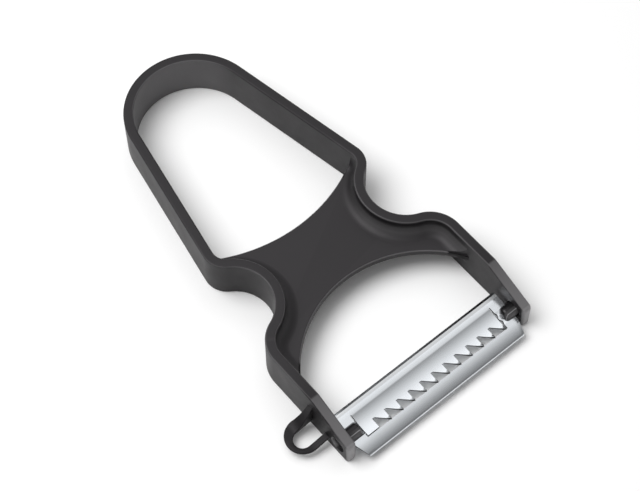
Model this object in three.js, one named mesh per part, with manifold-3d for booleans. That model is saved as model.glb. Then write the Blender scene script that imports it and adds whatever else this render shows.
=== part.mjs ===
// A julienne peeler: a moulded frame with a finger loop, and a toothed sheet blade that swivels
// on two pins between the frame's arms. Millimetres, +Z up, lying flat on its underside.
// The origin is on the underside, in the middle of the wall at the far end of the handle.
// +X runs along the blade, +Y from the blade to the handle.

import * as THREE from 'three';
import { mergeVertices } from 'three/addons/utils/BufferGeometryUtils.js';
import Module from 'manifold-3d';

const wasm = await Module();
wasm.setup();

// Frame: heights and walls
const FRAME_HEIGHT = 12;
const WALL = 2.5;
const RIM_ROUND = 0.35;
const WEB_TOP = 7.6;
const WEB_THICKNESS = 2;
const WEB_FILLET = 3;
const UNDER_FILLET = 1.5;
const WEB_EDGE_ROUND = 0.4;

// Frame: plan outline, stations measured from the outside of the handle's end
const LENGTH = 109.4;
const END_RADIUS = 17.3;
const HANDLE_TAPER = THREE.MathUtils.degToRad(10.35);
const CORNER_RADIUS = 6;
const NECK_RADIUS = 9.85;
const NECK_HALF_WIDTH = 16.75;
const NECK_FROM_END = 65.95;
const SHOULDER_RADIUS = 8.6;
const ARM_HALF_SPAN = 28.3;
const WEB_FROM_END = 57.3;
const WEB_HANDLE_ARC = 42;
const WEB_BLADE_ARC = 30.1;

// Frame: arms, stations measured back from their tips
const CREASE_FROM_TIP = 13.25;
const ARM_SLOPE = THREE.MathUtils.degToRad(21);
const NOSE_RADIUS = 1.8;
const TIP_ROUND = 0.8;
const PIVOT_FROM_TIP = 3.75;
const PIVOT_HEIGHT = 3.9;

// Frame: gouge loop on the left arm, stations measured back from the arm's tip
const LOOP_FROM_TIP = 11.7;
const LOOP_LENGTH = 3.45;
const LOOP_RADIUS = 4.45;
const LOOP_ROOT_HEIGHT = 2.6;
const LOOP_END_HEIGHT = 0.7;
const LOOP_FALL = 4.2;
const SCOOP_FROM_TIP = 11;
const SCOOP_LENGTH = 4.4;
const SCOOP_RADIUS = 2.3;
const GUSSET_HEIGHT = 9.4;
const GUSSET_LENGTH = 5.6;
const GUSSET_SAG = 2.5;

// Pivot pins
const PIN_RADIUS = 1.8;
const PIN_CLEARANCE = 0.3;
const PIN_ROUND = 0.5;
const PIN_END_RECESS = 0.1;
const PIN_LEFT_SETBACK = 0.45;
const PIN_RIGHT_SETBACK = 1.75;
const KEY_RADIUS = 0.45;
const KEY_HEAD_RADIUS = 0.9;
const KEY_HEAD_HEIGHT = 0.45;
const KEY_CLEARANCE = 0.2;

// Blade, in its own plane: u runs towards the handle and w up, both from the pivot axis
const BLADE_TILT = THREE.MathUtils.degToRad(8.3);
const SHEET = 0.6;
const SHEET_DROP = 0.15;
const ARM_GAP = 0.7;
const RAIL_BACK = 6.05;
const RAIL_WIDTH = 2.61;
const RAIL_GRIND = 0.85;
const RAIL_GRIND_DROP = 0.07;
const RAIL_BEVEL = 0.6;
const RAIL_BEVEL_DROP = 0.28;
const END_PLATE = 3.45;
const STRIP_WIDTH = 6.08;
const STRIP_DISH = 0.27;
const SIDE_SLOT = 0.35;
const FRONT_SLIT = 0.3;
const TOOTH_COUNT = 11;
const TOOTH_DEPTH = 2.5;
const TOOTH_LAND = 3.3;
const TOOTH_ROOT_FLAT = 0.65;
const TOOTH_TIP_FLAT = 0.25;
const LIP_WIDTH = 3.64;
const LIP_RADIUS = 14;
const LIP_END_TAPER = 1;

// How finely round stretches are divided, and how far a cutter runs past what it cuts
const ARC_STEPS = 18;
const SECTION_STEPS = 12;
const ROUND_STEPS = 36;
const WEB_STEPS = 108;
const PAST = 4;

// Places that follow from the sizes
const alongY = (fromEnd) => WALL / 2 - fromEnd;
const innerSpan = ARM_HALF_SPAN - WALL;
const tipY = alongY(LENGTH);
const creaseY = tipY + CREASE_FROM_TIP;
const pivotY = tipY + PIVOT_FROM_TIP;
const sheetTop = -SHEET_DROP;
const sheetBottom = sheetTop - SHEET;
const fold = RAIL_BACK - RAIL_WIDTH;
const toothTip = fold - STRIP_WIDTH;
const toothRoot = toothTip + TOOTH_DEPTH;
const lipStart = toothTip - FRONT_SLIT;
const bladeHalfLength = innerSpan - ARM_GAP;
const windowHalf = bladeHalfLength - END_PLATE;
const stripHalfLength = windowHalf - SIDE_SLOT;
const leftPinInner = windowHalf + PIN_LEFT_SETBACK;
const rightPinInner = windowHalf + PIN_RIGHT_SETBACK;
const seatRadius = PIN_RADIUS + PIN_CLEARANCE;
const keyX = (bladeHalfLength + rightPinInner) / 2;

function toSolid(geometry) {
  const bare = new THREE.BufferGeometry();
  bare.setAttribute('position', geometry.getAttribute('position'));
  if (geometry.index) bare.setIndex(geometry.index);
  const welded = mergeVertices(bare, 1e-5);
  const triangles = [];
  for (let i = 0; i < welded.index.count; i += 3) {
    const [a, b, c] = [0, 1, 2].map((k) => welded.index.getX(i + k));
    if (a !== b && b !== c && c !== a) triangles.push(a, b, c);
  }
  return new wasm.Manifold(new wasm.Mesh({
    numProp: 3,
    vertProperties: Float32Array.from(welded.getAttribute('position').array),
    triVerts: Uint32Array.from(triangles),
  }));
}

function toMesh(solid, name, material) {
  const mesh = solid.getMesh();
  const geometry = new THREE.BufferGeometry();
  geometry.setAttribute('position', new THREE.BufferAttribute(Float32Array.from(mesh.vertProperties), 3));
  geometry.setIndex(Array.from(mesh.triVerts));
  geometry.computeVertexNormals();
  const result = new THREE.Mesh(geometry, material);
  result.name = name;
  return result;
}

// A prism of a plan shape from one height to another, with both end edges rounded by "round"
function upright(shape, low, high, round = 0, roundSteps = 2) {
  const geometry = new THREE.ExtrudeGeometry(shape, {
    depth: high - low - 2 * round,
    curveSegments: ARC_STEPS,
    bevelEnabled: round > 0,
    bevelThickness: round,
    bevelSize: round,
    bevelOffset: -round,
    bevelSegments: roundSteps,
  });
  return toSolid(geometry.translate(0, 0, low + round));
}

// A prism of a side-view shape (drawn in Y and Z) from one X to another
function sideways(shape, low, high) {
  const geometry = new THREE.ExtrudeGeometry(shape, {
    depth: high - low,
    curveSegments: SECTION_STEPS,
    bevelEnabled: false,
  });
  geometry.translate(0, 0, low);
  geometry.applyMatrix4(new THREE.Matrix4().set(0, 0, 1, 0, 1, 0, 0, 0, 0, 1, 0, 0, 0, 0, 0, 1));
  return toSolid(geometry);
}

// A prism of a front-view shape (drawn in X and Z) from one Y to another
function lengthways(shape, low, high) {
  const geometry = new THREE.ExtrudeGeometry(shape, {
    depth: high - low,
    curveSegments: SECTION_STEPS,
    bevelEnabled: false,
  });
  return toSolid(geometry.rotateX(Math.PI / 2).translate(0, high, 0));
}

// A round bar along X, turned from its half-section
function turnedBar(profile) {
  const points = profile.map(([radius, x]) => new THREE.Vector2(radius, x));
  return toSolid(new THREE.LatheGeometry(points, ROUND_STEPS).rotateZ(-Math.PI / 2));
}

function postAt(x, y, radius, low, high) {
  const geometry = new THREE.CylinderGeometry(radius, radius, high - low, ROUND_STEPS);
  return toSolid(geometry.rotateX(Math.PI / 2).translate(x, y, (low + high) / 2));
}

// The frame's plan outline, moved inwards by "inset". Straight sides run tangent to the round end,
// then a corner, a hollow neck and a shoulder follow one another, all tangent, down to the arms.
// "footRound" rounds the arm tips: inwards where it is positive, and flaring outwards where negative.
function frameOutline(inset, footRound) {
  const end = new THREE.Vector2(0, alongY(END_RADIUS));
  const neck = new THREE.Vector2(NECK_HALF_WIDTH + NECK_RADIUS, alongY(NECK_FROM_END));
  const outward = new THREE.Vector2(Math.cos(HANDLE_TAPER), Math.sin(HANDLE_TAPER));
  const down = new THREE.Vector2(outward.y, -outward.x);
  const start = end.clone().addScaledVector(outward, END_RADIUS - CORNER_RADIUS);
  const toNeck = start.clone().sub(neck);
  const reach = NECK_RADIUS + CORNER_RADIUS;
  const along = toNeck.dot(down);
  const run = -along - Math.sqrt(along * along - toNeck.lengthSq() + reach * reach);
  const corner = start.clone().addScaledVector(down, run);
  const shoulderX = ARM_HALF_SPAN - SHOULDER_RADIUS;
  const shoulderDrop = Math.sqrt((NECK_RADIUS + SHOULDER_RADIUS) ** 2 - (neck.x - shoulderX) ** 2);
  const shoulder = new THREE.Vector2(shoulderX, neck.y - shoulderDrop);
  const cornerAngle = neck.clone().sub(corner).angle() - 2 * Math.PI;
  const shoulderAngle = neck.clone().sub(shoulder).angle();
  const endRadius = END_RADIUS - inset;
  const cornerRadius = CORNER_RADIUS - inset;
  const neckRadius = NECK_RADIUS + inset;
  const shoulderRadius = SHOULDER_RADIUS - inset;
  const half = ARM_HALF_SPAN - inset;
  const footX = half - footRound;
  const footY = tipY + Math.abs(footRound);
  const flare = footRound < 0;
  const footEnd = flare ? tipY - PAST - WEB_FILLET : tipY;
  const footAngle = flare ? Math.PI : 0;
  const outline = new THREE.Shape();
  outline.moveTo(footX, footEnd);
  outline.lineTo(footX, tipY);
  outline.absarc(footX, footY, Math.abs(footRound), -Math.PI / 2, -footAngle, flare);
  outline.lineTo(half, shoulder.y);
  outline.absarc(shoulder.x, shoulder.y, shoulderRadius, 0, shoulderAngle, false);
  outline.absarc(neck.x, neck.y, neckRadius, shoulderAngle + Math.PI, cornerAngle + Math.PI, true);
  outline.absarc(corner.x, corner.y, cornerRadius, cornerAngle, HANDLE_TAPER, false);
  outline.absarc(end.x, end.y, endRadius, HANDLE_TAPER, Math.PI - HANDLE_TAPER, false);
  outline.absarc(-corner.x, corner.y, cornerRadius, Math.PI - HANDLE_TAPER, Math.PI - cornerAngle, false);
  outline.absarc(-neck.x, neck.y, neckRadius, -cornerAngle, -shoulderAngle, true);
  outline.absarc(-shoulder.x, shoulder.y, shoulderRadius, Math.PI - shoulderAngle, Math.PI, false);
  outline.lineTo(-half, footY);
  outline.absarc(-footX, footY, Math.abs(footRound), footAngle - Math.PI, -Math.PI / 2, flare);
  outline.lineTo(-footX, footEnd);
  return outline;
}

// What the arms lose above their sloping tops and rounded noses
function armTopCut() {
  const centreY = tipY + NOSE_RADIUS;
  const slopeAngle = Math.PI / 2 + ARM_SLOPE;
  const slopeAtCentre = FRAME_HEIGHT - (creaseY - centreY) * Math.tan(ARM_SLOPE);
  const centreZ = slopeAtCentre - NOSE_RADIUS / Math.cos(ARM_SLOPE);
  const cut = new THREE.Shape();
  cut.moveTo(creaseY, FRAME_HEIGHT + PAST);
  cut.lineTo(tipY - PAST, FRAME_HEIGHT + PAST);
  cut.lineTo(tipY - PAST, centreZ);
  cut.lineTo(tipY, centreZ);
  cut.absarc(centreY, centreZ, NOSE_RADIUS, Math.PI, slopeAngle, true);
  cut.lineTo(creaseY, FRAME_HEIGHT);
  return sideways(cut, -ARM_HALF_SPAN - PAST, ARM_HALF_SPAN + PAST);
}

// What is turned away about an upright axis to leave a web edge of this radius, rounded top and bottom
function webCut(radius, y) {
  const low = WEB_TOP - WEB_THICKNESS;
  const wide = radius + WEB_EDGE_ROUND;
  const profile = [[0, -PAST], [wide, -PAST]];
  for (const angle of [0, Math.PI / 6, Math.PI / 3, Math.PI / 2]) {
    profile.push([wide - WEB_EDGE_ROUND * Math.sin(angle), low + WEB_EDGE_ROUND * (1 - Math.cos(angle))]);
  }
  for (const angle of [Math.PI / 2, Math.PI / 3, Math.PI / 6, 0]) {
    profile.push([wide - WEB_EDGE_ROUND * Math.sin(angle), WEB_TOP - WEB_EDGE_ROUND * (1 - Math.cos(angle))]);
  }
  profile.push([wide, FRAME_HEIGHT + PAST], [0, FRAME_HEIGHT + PAST]);
  const points = profile.map(([across, up]) => new THREE.Vector2(across, up));
  return toSolid(new THREE.LatheGeometry(points, WEB_STEPS).rotateX(Math.PI / 2).translate(0, y, 0));
}

// A low U-shaped strap round a scoop hole, with a gusset that climbs the arm on the handle side
function gougeLoop() {
  const root = -ARM_HALF_SPAN + WALL / 2;
  const strapY = tipY + LOOP_FROM_TIP;
  const strapX = -ARM_HALF_SPAN - LOOP_LENGTH;
  const backY = strapY + LOOP_RADIUS;
  const frontY = strapY - LOOP_RADIUS;
  const strap = new THREE.Shape();
  strap.moveTo(root, frontY);
  strap.lineTo(root, backY);
  strap.absarc(strapX, strapY, LOOP_RADIUS, Math.PI / 2, 1.5 * Math.PI, false);
  const scoopY = tipY + SCOOP_FROM_TIP;
  const scoopX = -ARM_HALF_SPAN - SCOOP_LENGTH;
  const crestY = scoopY + SCOOP_RADIUS;
  const scoop = new THREE.Path();
  scoop.moveTo(-ARM_HALF_SPAN, crestY);
  scoop.lineTo(-ARM_HALF_SPAN, scoopY - SCOOP_RADIUS);
  scoop.absarc(scoopX, scoopY, SCOOP_RADIUS, 1.5 * Math.PI, Math.PI / 2, true);
  strap.holes.push(scoop);
  const fall = new THREE.Shape();
  fall.moveTo(strapX - LOOP_RADIUS - PAST, 0);
  fall.lineTo(root, 0);
  fall.lineTo(root, LOOP_ROOT_HEIGHT);
  fall.lineTo(-ARM_HALF_SPAN, LOOP_ROOT_HEIGHT);
  fall.lineTo(-ARM_HALF_SPAN - LOOP_FALL, LOOP_END_HEIGHT);
  fall.lineTo(strapX - LOOP_RADIUS - PAST, LOOP_END_HEIGHT);
  const ramp = new THREE.Shape();
  ramp.moveTo(root, 0);
  ramp.lineTo(root, GUSSET_HEIGHT);
  ramp.lineTo(-ARM_HALF_SPAN, GUSSET_HEIGHT);
  const foot = -ARM_HALF_SPAN - GUSSET_LENGTH;
  ramp.quadraticCurveTo(-ARM_HALF_SPAN - GUSSET_SAG, LOOP_END_HEIGHT, foot, LOOP_END_HEIGHT);
  ramp.lineTo(foot, 0);
  const wedge = new THREE.Shape();
  wedge.moveTo(crestY, 0);
  wedge.lineTo(backY, 0);
  wedge.lineTo(backY, LOOP_END_HEIGHT);
  wedge.lineTo(crestY, GUSSET_HEIGHT);
  const gusset = sideways(wedge, foot, root).intersect(lengthways(ramp, frontY, backY + PAST));
  const body = lengthways(fall, frontY - PAST, backY + PAST).add(gusset);
  return upright(strap, 0, FRAME_HEIGHT).intersect(body);
}

function buildFrame() {
  const inner = frameOutline(WALL, -TIP_ROUND);
  const webBottom = WEB_TOP - WEB_THICKNESS;
  const block = upright(frameOutline(0, TIP_ROUND), 0, FRAME_HEIGHT, RIM_ROUND);
  const topPocket = upright(inner, WEB_TOP, FRAME_HEIGHT + PAST, WEB_FILLET, 3);
  const underPocket = upright(inner, -PAST, webBottom, UNDER_FILLET, 3);
  const inside = upright(inner, -PAST, FRAME_HEIGHT + PAST);
  const fingerGap = inside.intersect(webCut(WEB_HANDLE_ARC, alongY(WEB_FROM_END) + WEB_HANDLE_ARC));
  const bladeGap = inside.intersect(webCut(WEB_BLADE_ARC, pivotY));
  const holeEnd = ARM_HALF_SPAN + PAST;
  const pivotHole = turnedBar([[0, -holeEnd], [seatRadius, -holeEnd], [seatRadius, holeEnd], [0, holeEnd]])
    .translate([0, pivotY, PIVOT_HEIGHT]);
  return block
    .subtract(topPocket)
    .subtract(underPocket)
    .subtract(fingerGap)
    .subtract(bladeGap)
    .subtract(armTopCut())
    .add(gougeLoop())
    .subtract(pivotHole);
}

// Section of the blade at its ends: sharpened rail, half-round seat for the pin, curled lip
function endSection() {
  const seatOuter = seatRadius + SHEET;
  const seatTurn = Math.asin(SHEET_DROP / seatRadius);
  const outerTurn = Math.asin(-sheetBottom / seatOuter);
  const lipTurn = Math.asin(LIP_WIDTH / LIP_RADIUS);
  const lipCentre = sheetTop - LIP_RADIUS;
  const section = new THREE.Shape();
  section.moveTo(RAIL_BACK, sheetTop - RAIL_GRIND_DROP - RAIL_BEVEL_DROP);
  section.lineTo(RAIL_BACK - RAIL_BEVEL, sheetTop - RAIL_GRIND_DROP);
  section.lineTo(RAIL_BACK - RAIL_BEVEL - RAIL_GRIND, sheetTop);
  section.absarc(0, 0, seatRadius, -seatTurn, seatTurn - Math.PI, true);
  section.absarc(lipStart, lipCentre, LIP_RADIUS, Math.PI / 2, Math.PI / 2 + lipTurn, false);
  section.absarc(lipStart, lipCentre, LIP_RADIUS - SHEET, Math.PI / 2 + lipTurn, Math.PI / 2, true);
  section.absarc(0, 0, seatOuter, outerTurn - Math.PI, -outerTurn, false);
  section.lineTo(RAIL_BACK, sheetBottom);
  return section;
}

// Section of the strip that carries the teeth, dished between the rail and the tooth tips
function stripSection() {
  const halfWidth = STRIP_WIDTH / 2;
  const radius = (halfWidth * halfWidth + STRIP_DISH * STRIP_DISH) / (2 * STRIP_DISH);
  const middle = fold - halfWidth;
  const centre = sheetTop - STRIP_DISH + radius;
  const turn = Math.asin(halfWidth / radius);
  const section = new THREE.Shape();
  section.moveTo(fold + RAIL_WIDTH / 3, sheetBottom);
  section.lineTo(fold + RAIL_WIDTH / 3, sheetTop);
  section.absarc(middle, centre, radius, turn - Math.PI / 2, -turn - Math.PI / 2, true);
  section.absarc(middle, centre, radius + SHEET, -turn - Math.PI / 2, turn - Math.PI / 2, false);
  return section;
}

// The gap in front of each tooth: square on the left, slanting up to the next tip on the right
function notch(left, right) {
  const tip = right - TOOTH_TIP_FLAT;
  const gap = new THREE.Shape();
  gap.moveTo(left, toothTip - PAST);
  gap.lineTo(tip, toothTip - PAST);
  gap.lineTo(tip, toothTip);
  gap.lineTo(left + TOOTH_ROOT_FLAT, toothRoot);
  gap.lineTo(left, toothRoot);
  return upright(gap, -PAST, PAST);
}

function buildBlade() {
  const opening = new THREE.Shape();
  opening.moveTo(-windowHalf, lipStart);
  opening.lineTo(windowHalf, lipStart);
  opening.lineTo(windowHalf, fold);
  opening.lineTo(-windowHalf, fold);
  let strip = sideways(stripSection(), -stripHalfLength, stripHalfLength);
  const firstNotch = -stripHalfLength + TOOTH_LAND;
  const pitch = (stripHalfLength - firstNotch) / TOOTH_COUNT;
  for (let i = 0; i < TOOTH_COUNT; i += 1) {
    strip = strip.subtract(notch(firstNotch + i * pitch, firstNotch + (i + 1) * pitch));
  }
  let sheet = sideways(endSection(), -bladeHalfLength, bladeHalfLength)
    .subtract(upright(opening, -PAST, PAST))
    .add(strip);
  const taperEnd = lipStart - 2 * LIP_WIDTH;
  for (const side of [-1, 1]) {
    const corner = new THREE.Shape();
    corner.moveTo(side * bladeHalfLength, lipStart);
    corner.lineTo(side * (bladeHalfLength - 2 * LIP_END_TAPER), taperEnd);
    corner.lineTo(side * (bladeHalfLength + PAST), taperEnd);
    corner.lineTo(side * (bladeHalfLength + PAST), lipStart);
    sheet = sheet.subtract(upright(corner, -PAST, PAST));
    sheet = sheet.subtract(postAt(side * keyX, 0, KEY_RADIUS + KEY_CLEARANCE, -PAST, 0));
  }
  return sheet;
}

// A pin lies half sunk in the blade's seat and is held by a key that passes through the sheet
function buildPin(innerX) {
  const outerX = ARM_HALF_SPAN - PIN_END_RECESS;
  const rounded = [0, 1, 2, 3, 4].map((step) => {
    const angle = (step / 4) * (Math.PI / 2);
    return [PIN_RADIUS - PIN_ROUND * (1 - Math.sin(angle)), innerX + PIN_ROUND * (1 - Math.cos(angle))];
  });
  const bar = turnedBar([[0, innerX], ...rounded, [PIN_RADIUS, outerX], [0, outerX]]);
  const headTop = -(seatRadius + SHEET + KEY_CLEARANCE);
  const shank = postAt(keyX, 0, KEY_RADIUS, headTop - KEY_HEAD_HEIGHT / 2, -PIN_RADIUS / 2);
  const head = postAt(keyX, 0, KEY_HEAD_RADIUS, headTop - KEY_HEAD_HEIGHT, headTop);
  return bar.add(shank).add(head);
}

const blackPlastic = { color: 0x2b2a2b, roughness: 0.5, metalness: 0 };
const pinPlastic = { color: 0x222225, roughness: 0.4, metalness: 0 };
const stainless = { color: 0xd3d6d8, roughness: 0.22, metalness: 1 };

const frame = toMesh(buildFrame(), 'frame', new THREE.MeshStandardMaterial(blackPlastic));
const blade = toMesh(buildBlade(), 'blade', new THREE.MeshStandardMaterial(stainless));
const rightPin = buildPin(rightPinInner);
const leftPin = buildPin(leftPinInner).mirror([1, 0, 0]);

const swivel = new THREE.Group();
swivel.position.set(0, pivotY, PIVOT_HEIGHT);
swivel.rotation.x = BLADE_TILT;
swivel.add(blade);
swivel.add(toMesh(leftPin, 'pivot_pin_left', new THREE.MeshStandardMaterial(pinPlastic)));
swivel.add(toMesh(rightPin, 'pivot_pin_right', new THREE.MeshStandardMaterial(pinPlastic)));

const peeler = new THREE.Group();
peeler.add(frame);
peeler.add(swivel);

export default peeler;
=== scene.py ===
# %% [markdown]
# A julienne peeler in a white studio. The solids come in first as a fixed frame: they carry the
# sizes, the bodies and the joint. Everything after this cell dresses that frame.

# %% Load the solids and keep their box
from math import asin, atan2, cos, hypot, pi, radians, sin, sqrt, tan
import bmesh
import bpy
from bmesh.types import BMEdge, BMVert
from mathutils import Matrix, Vector


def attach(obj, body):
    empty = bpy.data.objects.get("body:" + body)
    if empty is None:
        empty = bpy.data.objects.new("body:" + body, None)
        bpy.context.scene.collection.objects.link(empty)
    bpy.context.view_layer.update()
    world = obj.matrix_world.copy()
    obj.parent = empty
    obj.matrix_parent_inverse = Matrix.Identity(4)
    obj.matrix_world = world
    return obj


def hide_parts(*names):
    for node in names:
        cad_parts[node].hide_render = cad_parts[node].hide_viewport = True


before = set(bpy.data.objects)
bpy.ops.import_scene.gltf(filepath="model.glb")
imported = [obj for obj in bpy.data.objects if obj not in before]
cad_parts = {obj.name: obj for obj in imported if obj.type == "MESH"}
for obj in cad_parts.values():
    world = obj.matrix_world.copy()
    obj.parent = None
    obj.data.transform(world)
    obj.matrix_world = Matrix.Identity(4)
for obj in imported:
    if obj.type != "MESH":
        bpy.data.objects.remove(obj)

MM = 0.001
NEAR, FINE, FINEST = 1e-6, 1e-7, 1e-8
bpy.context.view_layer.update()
scene = bpy.context.scene


def in_mm(lengths, digits=1):
    return [round(x / MM, digits) for x in lengths]


# %% [markdown]
# The camera stands high and a little to the left of the blade, about as a catalogue picture is
# taken. Its place was worked out from the frame's symmetry: seen from there, the left and right
# outlines of the picture mirror each other. A long lens keeps the handle from shrinking away.

# %% Camera
aim = Vector((-0.94, -65.7, 12)) * MM
turn, lift, away = radians(-40), radians(60), 410 * MM
back = Vector((sin(turn) * cos(lift), -cos(turn) * cos(lift), sin(lift)))
lens = bpy.data.cameras.new("camera")
lens.sensor_width = 36
lens.lens = 98.02
camera = bpy.data.objects.new("camera", lens)
camera.location = aim + back * away
camera.rotation_euler = back.to_track_quat("Z", "Y").to_euler()
scene.collection.objects.link(camera)
scene.camera = camera
scene.view_settings.view_transform = "Standard"
print("camera at", in_mm(camera.location), "mm")

# %% [markdown]
# Every finish is a small tree of shader nodes. One helper adds a node with its inputs, and the
# others name the steps that come back most: a sum to work out, a product of masks, a ramp between
# two values, a blend of two colours, the axes of a vector and how far it points one way.

# %% Helpers for shader nodes
def add(tree, kind, inputs=None, **settings):
    made = tree.nodes.new(kind)
    for name, value in settings.items():
        setattr(made, name, value)
    for name, value in (inputs or {}).items():
        if isinstance(value, bpy.types.NodeSocket):
            tree.links.new(value, made.inputs[name])
        else:
            made.inputs[name].default_value = value
    return made


def work_out(tree, operation, *values):
    return add(tree, "ShaderNodeMath", dict(enumerate(values)), operation=operation).outputs[0]


def product(tree, first, *others):
    for other in others:
        first = work_out(tree, "MULTIPLY", first, other)
    return first


def ramp(tree, value, low, high, to_low=0, to_high=1, kind="LINEAR"):
    inputs = {"Value": value, "From Min": low, "From Max": high, "To Min": to_low, "To Max": to_high}
    return add(tree, "ShaderNodeMapRange", inputs, interpolation_type=kind).outputs["Result"]


def blend(tree, share, one, other):
    inputs = {"Factor": share, "A": one, "B": other}
    return add(tree, "ShaderNodeMix", inputs, data_type="RGBA").outputs["Result"]


def axes(tree, vector):
    return add(tree, "ShaderNodeSeparateXYZ", {"Vector": vector}).outputs


def along_way(tree, vector, way):
    inputs = {0: vector, 1: way}
    return add(tree, "ShaderNodeVectorMath", inputs, operation="DOT_PRODUCT").outputs["Value"]


def empty_material(name):
    material = bpy.data.materials.new(name)
    material.use_nodes = True
    material.node_tree.nodes.clear()
    return material, material.node_tree


print("helpers for shader nodes are ready")

# %% [markdown]
# The floor is a flat white card. Its colour is close to white already, and a little glow that
# only the camera and mirror-like rays see lifts it to the white of the picture, so no extra lamp
# has to burn out the steel. The shadow under the peeler stays.

# %% Floor
CARD_WHITE, CARD_GLOW, CARD_HALF = (0.92, 0.92, 0.92, 1), 0.04, 3
card, tree = empty_material("white_card")
ray = add(tree, "ShaderNodeLightPath").outputs
seen = work_out(tree, "MAXIMUM", ray["Is Camera Ray"], ray["Is Glossy Ray"])
seen = work_out(tree, "MAXIMUM", seen, ray["Is Transmission Ray"])
lit = add(tree, "ShaderNodeBsdfDiffuse", {"Color": CARD_WHITE})
glow = add(tree, "ShaderNodeEmission", {"Strength": product(tree, seen, CARD_GLOW)})
both = add(tree, "ShaderNodeAddShader", {0: lit.outputs[0], 1: glow.outputs[0]})
add(tree, "ShaderNodeOutputMaterial", {"Surface": both.outputs[0]})
bm = bmesh.new()
bmesh.ops.create_grid(bm, x_segments=1, y_segments=1, size=CARD_HALF)
floor_mesh = bpy.data.meshes.new("floor")
bm.to_mesh(floor_mesh)
bm.free()
floor_mesh.materials.append(card)
floor = bpy.data.objects.new("floor", floor_mesh)
scene.collection.objects.link(floor)
print("floor", [round(x, 2) for x in floor.dimensions], "m")

# %% [markdown]
# A satin black part and bright steel show what stands round them more than they show lamps. So most
# of the light is a wide white room: bright overhead and behind the handle, dim on the camera's
# side. One soft lamp from the upper left draws the shadow to the right.

# %% The white room
BEHIND_HANDLE, BEHIND_SPAN, BEHIND_LEVEL = (0, 0.94, 0.34), (-0.15, 0.6), 1.05
HIGH_SPAN, LOW_SPAN, LOW_LEVELS = (0.3, 0.75), (0.65, 0.45), (0.2, 1)
AHEAD_SPAN, AHEAD_LEVELS, LEAST_FILL = (-0.3, -0.8), (0.2, 0.36), 0.2
room = bpy.data.worlds.new("white_room")
scene.world = room
room.use_nodes = True
tree = room.node_tree
tree.nodes.clear()
way = add(tree, "ShaderNodeTexCoord").outputs["Generated"]
behind = along_way(tree, way, BEHIND_HANDLE)
behind = ramp(tree, behind, *BEHIND_SPAN, 0, BEHIND_LEVEL, "SMOOTHSTEP")
part = axes(tree, way)
high = ramp(tree, part["Z"], *HIGH_SPAN, 0, 1, "SMOOTHSTEP")
ahead = ramp(tree, part["Y"], *AHEAD_SPAN, *AHEAD_LEVELS, "SMOOTHSTEP")
low = ramp(tree, part["Z"], *LOW_SPAN, *LOW_LEVELS, "SMOOTHSTEP")
fill = work_out(tree, "MAXIMUM", product(tree, ahead, low), LEAST_FILL)
level = work_out(tree, "MULTIPLY_ADD", behind, high, fill)
sky = add(tree, "ShaderNodeBackground", {"Color": (1, 1, 1, 1), "Strength": level})
add(tree, "ShaderNodeOutputWorld", {"Surface": sky.outputs[0]})
print("room with", len(tree.nodes), "nodes")

# %% The soft lamp
soft = bpy.data.lights.new("soft_lamp", "AREA")
soft.shape = "DISK"
soft.size = 0.42
soft.energy = 2.15
lamp = bpy.data.objects.new("soft_lamp", soft)
lamp.location = Vector((-195, 120, 512)) * MM
lamp.rotation_euler = (lamp.location - aim).to_track_quat("Z", "Y").to_euler()
scene.collection.objects.link(lamp)
print("lamp", soft.energy, "W at", in_mm(lamp.location, 0), "mm")

# %% [markdown]
# Some faces of the black plastic that look to the front get painted front light: the slopes and
# tips of the arms and the inside of the handle's end are made paler, as a low light from the front
# would make them, and the pins get a weaker share of it. The masks say where a point lies, by object
# coordinates, and how far its face looks to the front.
# Each pin also gets a painted highlight: a narrow pale line along it, made in the same way, because
# no lamp that suited the rest gave it.

# %% Painted front light on the places that look to the front
SLOPES_Y, ARM_X = (-94.6 * MM, -95.1 * MM), (-28.7 * MM, -28.35 * MM)
# The inside of the handle's end gets part of the painted front light.
HANDLE_END_Y, HANDLE_END_SHARE = (-28 * MM, -8 * MM), 0.42
TO_FRONT, FRONT_FROM, FRONT_POWER = (0, -1, 0), 0.1, 0.65
# Painted front light: the pale colour that faces looking to the front are blended towards.
PAINTED_FRONT_LIGHT = (0.33, 0.323, 0.33, 1)
# Painted highlight on the pins: where a face looks this far to the front, give or take the half
# width.
HIGHLIGHT_FACING, HIGHLIGHT_HALF = 0.56, 0.045


def add_painted_front_light(tree, colour, share, pin_highlight_colour):
    here = add(tree, "ShaderNodeTexCoord").outputs
    at = axes(tree, here["Object"])
    tips = product(tree, ramp(tree, at["Y"], *SLOPES_Y), ramp(tree, at["X"], *ARM_X))
    handle_end = ramp(tree, at["Y"], *HANDLE_END_Y, 0, HANDLE_END_SHARE)
    front_lit_place = work_out(tree, "MAXIMUM", tips, handle_end)
    facing = along_way(tree, here["Normal"], TO_FRONT)
    front = work_out(tree, "POWER", ramp(tree, facing, FRONT_FROM, 1), FRONT_POWER)
    # Painted front light, blended in by place and by how far the face looks to the front.
    colour = blend(tree, product(tree, front_lit_place, front, share), colour, PAINTED_FRONT_LIGHT)
    # Painted highlight line along each pin.
    if pin_highlight_colour:
        highlight_line = work_out(tree, "COMPARE", facing, HIGHLIGHT_FACING, HIGHLIGHT_HALF)
        colour = blend(tree, highlight_line, colour, pin_highlight_colour)
    return colour


print("paler from y", in_mm(SLOPES_Y), "on the arms and", in_mm(HANDLE_END_Y), "in the handle")
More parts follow.
